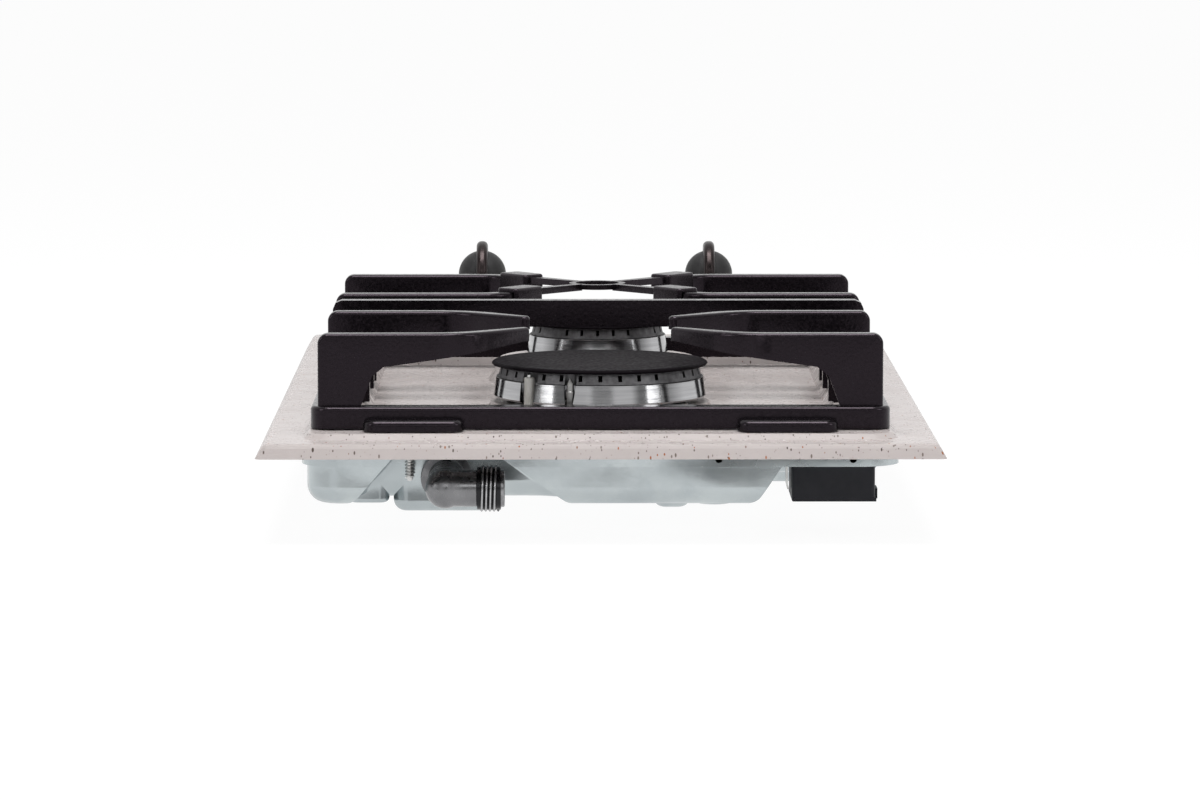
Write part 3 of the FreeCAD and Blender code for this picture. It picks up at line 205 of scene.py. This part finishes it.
def spreader_alloy():
    """Turned bright skirt under a rough dark die-cast crown."""
    finish = Finish("spreader_alloy", metal=1.0)
    skirt_top = 26.15 * MM
    crown_foot = 26.45 * MM
    crown = finish.remap(finish.height(), skirt_top, crown_foot, 0, 1)
    brushed = finish.noise(25, 2, (1, 1, 30))
    bright = finish.ramp(brushed, (NOISE_LOW, (0.37, 0.37, 0.378)), (NOISE_HIGH, (0.465, 0.465, 0.473)))
    pitted = finish.noise(420, 4)
    cast = finish.ramp(pitted, (NOISE_LOW, (0.10, 0.098, 0.102)), (NOISE_TOP, (0.19, 0.187, 0.193)))
    finish.set("Base Color", finish.mix(crown, bright, cast))
    turned = finish.varied(finish.noise(40, 3, (1, 1, 60)), 0.09, 0.15)
    finish.set("Roughness", finish.math("ADD", turned, finish.math("MULTIPLY", crown, 0.4)))
    rough_cast = finish.math("MULTIPLY", finish.noise(700, 3), crown)
    lathe = finish.math("MULTIPLY", finish.noise(14, 2, (1, 1, 120)), 0.03)
    finish.bump(finish.math("ADD", rough_cast, lathe), 0.0002, 0.7)
    return finish.material


def metal(name, colour, rough, grain=600, depth=0.00005):
    """Bare metal with a fine grain in its colour, its polish and its surface."""
    finish = Finish(name, metal=1.0)
    dull = tuple(c * 0.72 for c in colour)
    spread = 0.12
    stained = finish.noise(grain * 0.2, 4)
    finish.set("Base Color", finish.ramp(stained, (NOISE_LOW, dull), (NOISE_HIGH, colour)))
    polish = finish.noise(grain * 0.5, 3)
    finish.set("Roughness", finish.varied(polish, rough - spread / 2, rough + spread))
    finish.bump(finish.noise(grain, 3), depth, 0.6)
    return finish.material


def threaded_steel_with_painted_light(middle, root, crest):
    """Inlet steel with painted shade in the thread roots, painted highlights on the crests and a lighter
    plain end, all by distance from the axis.
    """
    finish = Finish("threaded_steel_with_painted_light", metal=1.0)
    where = finish.add("TexCoord", {}).outputs["Object"]
    centred = {"Vector": where, "Location": (0, -middle.y, -middle.z), "Scale": (0, 1, 1)}
    spoke = finish.add("Mapping", centred).outputs["Vector"]
    reach = finish.add("VectorMath", {0: spoke}, operation="LENGTH").outputs["Value"]
    # Painted light: the colour runs from painted shade at the thread root to a painted highlight at the
    # crest.
    painted_relief_share = finish.remap(reach, root, crest, 0, 1)
    plain_inner = root - 0.8 * MM
    plain_outer = root - 0.4 * MM
    plain = finish.remap(reach, plain_inner, plain_outer, 0.6, 0)
    shifted_tone = finish.varied(finish.noise(500, 3), -0.08, 0.08)
    shifted_tone = finish.math("ADD", finish.math("ADD", painted_relief_share, plain), shifted_tone)
    # Stops run from painted shade in the roots to painted highlights on the crests, and random wear shifts
    # the tone a little.
    painted_relief_tones = (0.1, (0.03, 0.03, 0.032)), (0.45, (0.15, 0.15, 0.155)), (0.95, (0.5, 0.5, 0.51))
    finish.set("Base Color", finish.ramp(shifted_tone, *painted_relief_tones))
    finish.set("Roughness", finish.varied(finish.noise(300, 3), 0.2, 0.34))
    finish.bump(finish.noise(450, 3), 0.00004, 0.5)
    return finish.material


def galvanised():
    """Zinc-coated sheet: pale blue-grey satin with a faint spangle, rolling streaks and soft waves."""
    finish = Finish("galvanised", metal=0.9)
    pick, tone = finish.cells(170)[1:]
    spangle = finish.ramp(pick, (0.0, (0.42, 0.46, 0.475)), (1.0, (0.54, 0.585, 0.595)))
    clouds = finish.noise(30, 5)
    cloud = finish.ramp(clouds, (NOISE_LOW, (0.40, 0.44, 0.455)), (NOISE_HIGH, (0.56, 0.605, 0.615)))
    cloud_share = 0.8
    finish.set("Base Color", finish.mix(cloud_share, spangle, cloud))
    streak = finish.varied(finish.noise(60, 4, (0.2, 1, 1)), 0.17, 0.27)
    finish.set("Roughness", finish.math("ADD", streak, finish.math("MULTIPLY", tone, 0.025)))
    soft_waves = finish.noise(20, 1, (0.6, 1, 1))
    pressed = finish.math("ADD", soft_waves, finish.math("MULTIPLY", finish.noise(110, 4), 0.008))
    finish.bump(pressed, 0.025, 0.55)
    return finish.material


def moulded(name, colour, rough, grain=900, depth=0.00004, coat=0.0, specular=0.5):
    """Moulded plastic, rubber, foam or fired clay with a fine surface grain."""
    finish = Finish(name, coat=coat, specular=specular)
    lighter = tuple(c * 1.25 + 0.002 for c in colour)
    finish.set("Base Color", finish.ramp(finish.noise(80, 4), (NOISE_LOW, colour), (NOISE_TOP, lighter)))
    finish.set("Roughness", finish.varied(finish.noise(grain * 0.6, 2), rough - 0.07, rough + 0.09))
    finish.bump(finish.noise(grain, 3), depth, 0.6)
    return finish.material


finishes = {
    "enamel": speckled_enamel(),
    "foam": moulded("seal_foam", (0.05, 0.05, 0.052), 0.85, 1400, 0.0002),
    "support_casting": black_casting("support_casting", 0.003, 0.018, 0.00009, 0.2, 0.24),
    "reducer_enamel": black_casting("reducer_enamel", 0.0045, 0.02, 0.00008, 0.26, 0.3),
    "cap_enamel": black_casting("cap_enamel", 0.005, 0.08, 0.00006, 0.5, 0.014),
    "spreader_alloy": spreader_alloy(),
    "cup_alloy": metal("cup_alloy", (0.42, 0.42, 0.43), 0.42, 500, 0.0001),
    "jet_brass": metal("jet_brass", (0.62, 0.44, 0.19), 0.26),
    "zinc_steel": metal("zinc_steel", (0.68, 0.68, 0.67), 0.26),
    "galvanised": galvanised(),
    "inlet_steel": metal("inlet_steel", (0.255, 0.255, 0.263), 0.25, 450, 0.00006),
    "porcelain": moulded("porcelain", (0.55, 0.54, 0.51), 0.22, 500, 0.00002, 0.4),
    "probe_metal": metal("probe_metal", (0.36, 0.355, 0.35), 0.3),
    "tube_alloy": metal("tube_alloy", (0.62, 0.63, 0.64), 0.3),
    "tap_brass": metal("tap_brass", (0.58, 0.42, 0.2), 0.36, 400, 0.0001),
    "knob_black": moulded("knob_black", (0.012, 0.0115, 0.012), 0.5, 1300, 0.00004, specular=0.3),
    "bronze": metal("bronze", (0.038, 0.0305, 0.0305), 0.3, 700, 0.00003),
    "lead_rubber": moulded("lead_rubber", (0.016, 0.016, 0.017), 0.5),
    "lead_copper": metal("lead_copper", (0.6, 0.3, 0.16), 0.34),
    "black_plastic": moulded("black_plastic", (0.011, 0.0115, 0.0155), 0.45, 700, 0.00006, specular=0.25),
    "white_plastic": moulded("white_plastic", (0.66, 0.66, 0.64), 0.4),
    "foot_rubber": moulded("foot_rubber", (0.02, 0.02, 0.02), 0.7),
}
for name, node in nodes.items():
    node.data.materials.clear()
    node.data.materials.append(finishes[slot_of_node[name]])


def piece(name, mesh, body, slot, *stands_for):
    """A finished mesh as a piece of the object, riding on a body."""
    made = bpy.data.objects.new(name, mesh)
    bpy.context.scene.collection.objects.link(made)
    made.data.materials.clear()
    made.data.materials.append(finishes[slot])
    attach(made, body)
    if stands_for:
        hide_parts(*stands_for)
    return made


# Edge radius in millimetres of each node whose sharp edges are rounded off.
EASED = {
    "pan_support": 1.0,
    "pot_reducer": 0.6,
    "terminal_box": 0.8,
    "terminal_lid": 0.4,
    "gas_inlet_elbow": 0.6,
    "left_knob_handle": 0.7,
    "right_knob_handle": 0.7,
    "inlet_nut": 0.5,
    "inlet_bracket": 0.25,
}
EASE_SEGMENTS = 3
SHARP_ANGLE = math.radians(50)
FLAT_ANGLE = math.radians(0.5)
WELD_GAP = 1e-6


def eased(node, radius):
    """The node's own form with its sharp edges rounded off, in place of the node."""
    mesh = nodes[node].data.copy()
    for layer in ("custom_normal", "sharp_face", "sharp_edge"):
        if layer in mesh.attributes:
            mesh.attributes.remove(mesh.attributes[layer])
    form = bmesh.new()
    form.from_mesh(mesh)
    bmesh.ops.remove_doubles(form, verts=form.verts, dist=WELD_GAP)
    bmesh.ops.dissolve_limit(form, angle_limit=FLAT_ANGLE, verts=form.verts, edges=form.edges)
    for face in form.faces:
        face.smooth = True
    form.to_mesh(mesh)
    form.free()
    holder = bpy.data.objects.new("easing", mesh)
    bpy.context.scene.collection.objects.link(holder)
    rounding = holder.modifiers.new("rounding", "BEVEL")
    rounding.width = radius
    rounding.segments = EASE_SEGMENTS
    rounding.limit_method = "ANGLE"
    rounding.angle_limit = SHARP_ANGLE
    rounding.harden_normals = True
    rounding.miter_outer = "MITER_ARC"
    depsgraph = bpy.context.evaluated_depsgraph_get()
    result = bpy.data.meshes.new_from_object(holder.evaluated_get(depsgraph))
    bpy.data.objects.remove(holder)
    piece(node + "_eased", result, body_of_node[node], slot_of_node[node], node)


for node, radius in EASED.items():
    eased(node, radius * MM)

TURN_STEPS = 48
RIDGE_CORNERS = 4
RIDGE_WIDTH = 0.74


def thread_tree(finish):
    """The ridge of a screw thread, wound upwards round the Z axis."""
    tree = bpy.data.node_groups.new("thread_ridge", "GeometryNodeTree")
    sizes = {}
    for name in ("Length", "Crest radius", "Depth", "Pitch"):
        socket = tree.interface.new_socket(name, in_out="INPUT", socket_type="NodeSocketFloat")
        sizes[name] = socket.identifier
    tree.interface.new_socket("Geometry", in_out="OUTPUT", socket_type="NodeSocketGeometry")

    def work(operation, a, b):
        return add_node(tree, "ShaderNodeMath", {0: a, 1: b}, operation=operation).outputs["Value"]

    given = tree.nodes.new("NodeGroupInput").outputs
    root = work("SUBTRACT", given["Crest radius"], given["Depth"])
    run = work("SUBTRACT", given["Length"], work("MULTIPLY", given["Depth"], 2.0))
    helix = add_node(tree, "GeometryNodeCurveSpiral", {
        "Resolution": TURN_STEPS, "Rotations": work("DIVIDE", run, given["Pitch"]),
        "Start Radius": root, "End Radius": root, "Height": run})
    upright = add_node(tree, "GeometryNodeSetCurveNormal", {"Curve": helix.outputs["Curve"]}, mode="Z_UP")
    lozenge = add_node(tree, "GeometryNodeCurvePrimitiveCircle", {
        "Resolution": RIDGE_CORNERS, "Radius": given["Depth"]})
    ridge = add_node(tree, "GeometryNodeTransform", {
        "Geometry": lozenge.outputs["Curve"], "Scale": (1, RIDGE_WIDTH, 1)})
    sweep = add_node(tree, "GeometryNodeCurveToMesh", {
        "Curve": upright.outputs["Curve"], "Profile Curve": ridge.outputs["Geometry"], "Fill Caps": True})
    lift = add_node(tree, "ShaderNodeCombineXYZ", {"Z": given["Depth"]})
    raised = add_node(tree, "GeometryNodeTransform", {
        "Geometry": sweep.outputs["Mesh"], "Translation": lift.outputs["Vector"]})
    real = add_node(tree, "GeometryNodeRealizeInstances", {"Geometry": raised.outputs["Geometry"]})
    painted = add_node(tree, "GeometryNodeSetMaterial", {
        "Geometry": real.outputs["Geometry"], "Material": finish})
    out = tree.nodes.new("NodeGroupOutput")
    tree.links.new(painted.outputs["Geometry"], out.inputs["Geometry"])
    return tree, sizes


def grown(tree, sizes, values):
    """The plain mesh that a geometry tree gives for these sizes."""
    holder = bpy.data.objects.new("grown", bpy.data.meshes.new("grown"))
    bpy.context.scene.collection.objects.link(holder)
    growth = holder.modifiers.new("growth", "NODES")
    growth.node_group = tree
    for name, value in values.items():
        growth[sizes[name]] = value
    depsgraph = bpy.context.evaluated_depsgraph_get()
    mesh = bpy.data.meshes.new_from_object(holder.evaluated_get(depsgraph))
    holder.modifiers.remove(growth)
    bpy.data.objects.remove(holder)
    return mesh


RING_STEPS = 96


def turned_ring(form, outline, middle):
    """A closed ring turned about the X axis through middle, from pairs of x and radius."""
    rings = []
    for x, radius in outline:
        ring = []
        for step in range(RING_STEPS):
            a = math.radians(360 / RING_STEPS * step)
            ring.append(form.verts.new((x, middle.y + radius * math.cos(a), middle.z + radius * math.sin(a))))
        rings.append(ring)
    for one, two in zip(rings, rings[1:] + rings[:1]):
        for step in range(RING_STEPS):
            after = (step + 1) % RING_STEPS
            form.faces.new((one[step], one[after], two[after], two[step]))


def inlet_nipple():
    """The threaded end of the gas inlet: thread, plain pilot and bore."""
    low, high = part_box("gas_inlet_nipple")
    middle = (low + high) / 2
    crest = (high.z - low.z) / 2
    depth = 1.16 * MM
    pitch = 1.814 * MM
    pilot = 1.7 * MM
    tree, sizes = thread_tree(finishes["inlet_steel"])
    threaded = high.x - low.x - pilot
    mesh = grown(tree, sizes, {"Length": threaded, "Crest radius": crest, "Depth": depth, "Pitch": pitch})
    along_x = Matrix.Rotation(math.radians(90), 4, "Y")
    mesh.transform(Matrix.Translation((low.x + pilot, middle.y, middle.z)) @ along_x)
    form = bmesh.new()
    form.from_mesh(mesh)
    root = crest - depth * 0.96
    lip = 8.2 * MM
    bore = 6 * MM
    lip_chamfer = 0.4 * MM
    bore_chamfer = 0.5 * MM
    turned_ring(form, [
        (high.x, root), (low.x + pilot, root), (low.x + pilot * 0.9, lip), (low.x + lip_chamfer, lip),
        (low.x, lip - lip_chamfer), (low.x, bore + bore_chamfer), (low.x + bore_chamfer, bore),
        (high.x, bore)], middle)
    bmesh.ops.recalc_face_normals(form, faces=form.faces)
    form.to_mesh(mesh)
    form.free()
    thread = piece("inlet_thread", mesh, "hob", "inlet_steel", "gas_inlet_nipple")
    thread.data.materials[0] = threaded_steel_with_painted_light(middle, root, crest)


def bracket_threads():
    """Blunt threaded ends of the two sheet-metal screws that come through beside the inlet."""
    low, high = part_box("bracket_screws")
    head = 3.1 * MM
    thread_start = 0.9 * MM
    screw = {"Length": 10.4 * MM, "Crest radius": 2.25 * MM, "Depth": 0.62 * MM, "Pitch": 1.4 * MM}
    # Start, rise, lower radius and upper radius of the blunt tip and the core, in millimetres.
    cores = ((0.2, 1.6, 0.9, 1.65), (1.8, 9.0, 1.65, 1.65))
    tree, sizes = thread_tree(finishes["zinc_steel"])
    form = bmesh.new()
    for y in (low.y + head, high.y - head):
        mesh = grown(tree, sizes, screw)
        mesh.transform(Matrix.Translation((low.x + head, y, low.z + thread_start)))
        form.from_mesh(mesh)
        for start, rise, from_radius, to_radius in cores:
            spot = Matrix.Translation((low.x + head, y, low.z + (start + rise / 2) * MM))
            bmesh.ops.create_cone(
                form, cap_ends=True, segments=32, radius1=from_radius * MM, radius2=to_radius * MM,
                depth=rise * MM, matrix=spot)
    bmesh.ops.recalc_face_normals(form, faces=form.faces)
    mesh = bpy.data.meshes.new("bracket_threads")
    form.to_mesh(mesh)
    form.free()
    piece("bracket_threads", mesh, "hob", "zinc_steel")


inlet_nipple()
bracket_threads()

FLOOR_REACH = 40.0
FLOOR_GAP = 0.3 * MM
FLOOR_COLOUR = (0.86, 0.86, 0.86, 1)
FLOOR_WHITE = 1.05
FLOOR_WHITE_SHARE = 0.9


def pale_floor():
    """A white floor under the hob that keeps its shadow, and is clear when seen from below."""
    mesh = bpy.data.meshes.new("pale_floor")
    z = cad_low.z - FLOOR_GAP
    far = FLOOR_REACH
    mesh.from_pydata([(-far, -far, z), (far, -far, z), (far, far, z), (-far, far, z)], [], [(0, 1, 2, 3)])
    floor = bpy.data.objects.new("pale_floor", mesh)
    bpy.context.scene.collection.objects.link(floor)
    look = bpy.data.materials.new("pale_floor")
    look.use_nodes = True
    tree = look.node_tree
    tree.nodes.clear()

    def work(operation, a, b):
        return add_node(tree, "ShaderNodeMath", {0: a, 1: b}, operation=operation).outputs["Value"]

    def blended(share, a, b):
        return add_node(tree, "ShaderNodeMixShader", {"Fac": share, 1: a, 2: b}).outputs["Shader"]

    rays = add_node(tree, "ShaderNodeLightPath", {}).outputs
    shown = work("MAXIMUM", rays["Is Camera Ray"], rays["Is Transmission Ray"])
    shown = work("MAXIMUM", shown, rays["Is Glossy Ray"])
    share = work("MULTIPLY", shown, FLOOR_WHITE_SHARE)
    matt = add_node(tree, "ShaderNodeBsdfDiffuse", {"Color": FLOOR_COLOUR}).outputs["BSDF"]
    white = add_node(tree, "ShaderNodeEmission", {"Strength": FLOOR_WHITE}).outputs["Emission"]
    side = add_node(tree, "ShaderNodeNewGeometry", {}).outputs["Backfacing"]
    gap = add_node(tree, "ShaderNodeBsdfTransparent", {}).outputs["BSDF"]
    one_way = blended(side, blended(share, matt, white), gap)
    add_node(tree, "ShaderNodeOutputMaterial", {"Surface": one_way})
    mesh.materials.append(look)


def softbox(name, where, aim, size, power):
    """A square or oblong lamp that looks at aim."""
    lamp = bpy.data.lights.new(name, "AREA")
    lamp.shape = "RECTANGLE"
    lamp.size = size[0]
    lamp.size_y = size[1]
    lamp.energy = power
    holder = bpy.data.objects.new(name, lamp)
    bpy.context.scene.collection.objects.link(holder)
    holder.location = where
    holder.rotation_euler = (Vector(aim) - Vector(where)).to_track_quat("-Z", "Y").to_euler()


# Place across the room, from 0 to 1, and brightness of the panels and gaps on the inlet's side.
PANELS = (
    (0.0, 0.5), (0.07, 0.26), (0.16, 0.24), (0.22, 0.85), (0.36, 0.85), (0.41, 0.28),
    (0.55, 0.28), (0.61, 0.8), (0.74, 0.8), (0.8, 0.22), (0.9, 0.26), (1.0, 0.5),
)
PANELS_END = 0.15
WHITE_WALL_START = -0.25
WHITE_WALL = 1.0
ROOM_LIGHT = 0.32


def mirrored_walls(tree):
    """What shiny pieces see of the room: white behind the hob's front, panels on the inlet's side."""
    where = add_node(tree, "ShaderNodeTexCoord", {}).outputs["Generated"]
    axes = add_node(tree, "ShaderNodeSeparateXYZ", {"Vector": where}).outputs
    across = add_node(tree, "ShaderNodeMapRange", {"Value": axes["X"], "From Min": -1})
    panels = add_node(tree, "ShaderNodeValToRGB", {"Fac": across.outputs["Result"]})
    set_stops(panels.color_ramp, [(place, (glow, glow, glow)) for place, glow in PANELS])
    behind = add_node(tree, "ShaderNodeMapRange", {
        "Value": axes["Y"], "From Min": PANELS_END, "From Max": WHITE_WALL_START})
    walls = add_node(tree, "ShaderNodeMix", {
        0: behind.outputs["Result"], 2: panels.outputs["Color"], 3: WHITE_WALL})
    return walls.outputs[0]


# Name, place, aim, size in metres and power in watts.
LAMPS = (
    ("overhead", (0, 0.3, 1.45), (0, 0, 0), (0.9, 0.9), 25),
    ("front_box", (0, 2.0, 0.75), (0, 0.1, 0), (0.9, 0.4), 2),
    ("left_box", (1.5, 1.0, 0.8), (0, 0.1, 0), (0.5, 0.9), 6),
    ("right_box", (-1.5, 1.0, 0.8), (0, 0.1, 0), (0.5, 0.9), 6),
)
CAMERA_PLACE = (0.0151, 2.649, 0.283)
CAMERA_TILT = math.radians(83.87)
CAMERA_TURN = math.radians(179.65)
FOCAL_LENGTH = 167.2
SENSOR_WIDTH = 36
CLIP_END = 50


def studio():
    """Floor, room, lamps and camera, which are no part of the hob."""
    pale_floor()
    world = bpy.data.worlds.new("studio")
    world.use_nodes = True
    bpy.context.scene.world = world
    tree = world.node_tree
    back = tree.nodes["Background"]
    back.inputs["Color"].default_value = (1, 1, 1, 1)
    rays = add_node(tree, "ShaderNodeLightPath", {}).outputs
    level = add_node(tree, "ShaderNodeMix", {
        0: rays["Is Glossy Ray"], 2: ROOM_LIGHT, 3: mirrored_walls(tree)})
    seen = add_node(tree, "ShaderNodeMath", {
        0: rays["Is Camera Ray"], 1: level.outputs[0]}, operation="MAXIMUM")
    tree.links.new(seen.outputs["Value"], back.inputs["Strength"])
    for name, where, aim, size, power in LAMPS:
        softbox(name, where, aim, size, power)
    lens = bpy.data.cameras.new("camera")
    lens.lens = FOCAL_LENGTH
    lens.sensor_width = SENSOR_WIDTH
    lens.sensor_fit = "HORIZONTAL"
    lens.clip_end = CLIP_END
    camera = bpy.data.objects.new("camera", lens)
    bpy.context.scene.collection.objects.link(camera)
    camera.location = CAMERA_PLACE
    camera.rotation_euler = (CAMERA_TILT, 0, CAMERA_TURN)
    bpy.context.scene.camera = camera
    bpy.context.scene.view_settings.view_transform = "Standard"


studio()
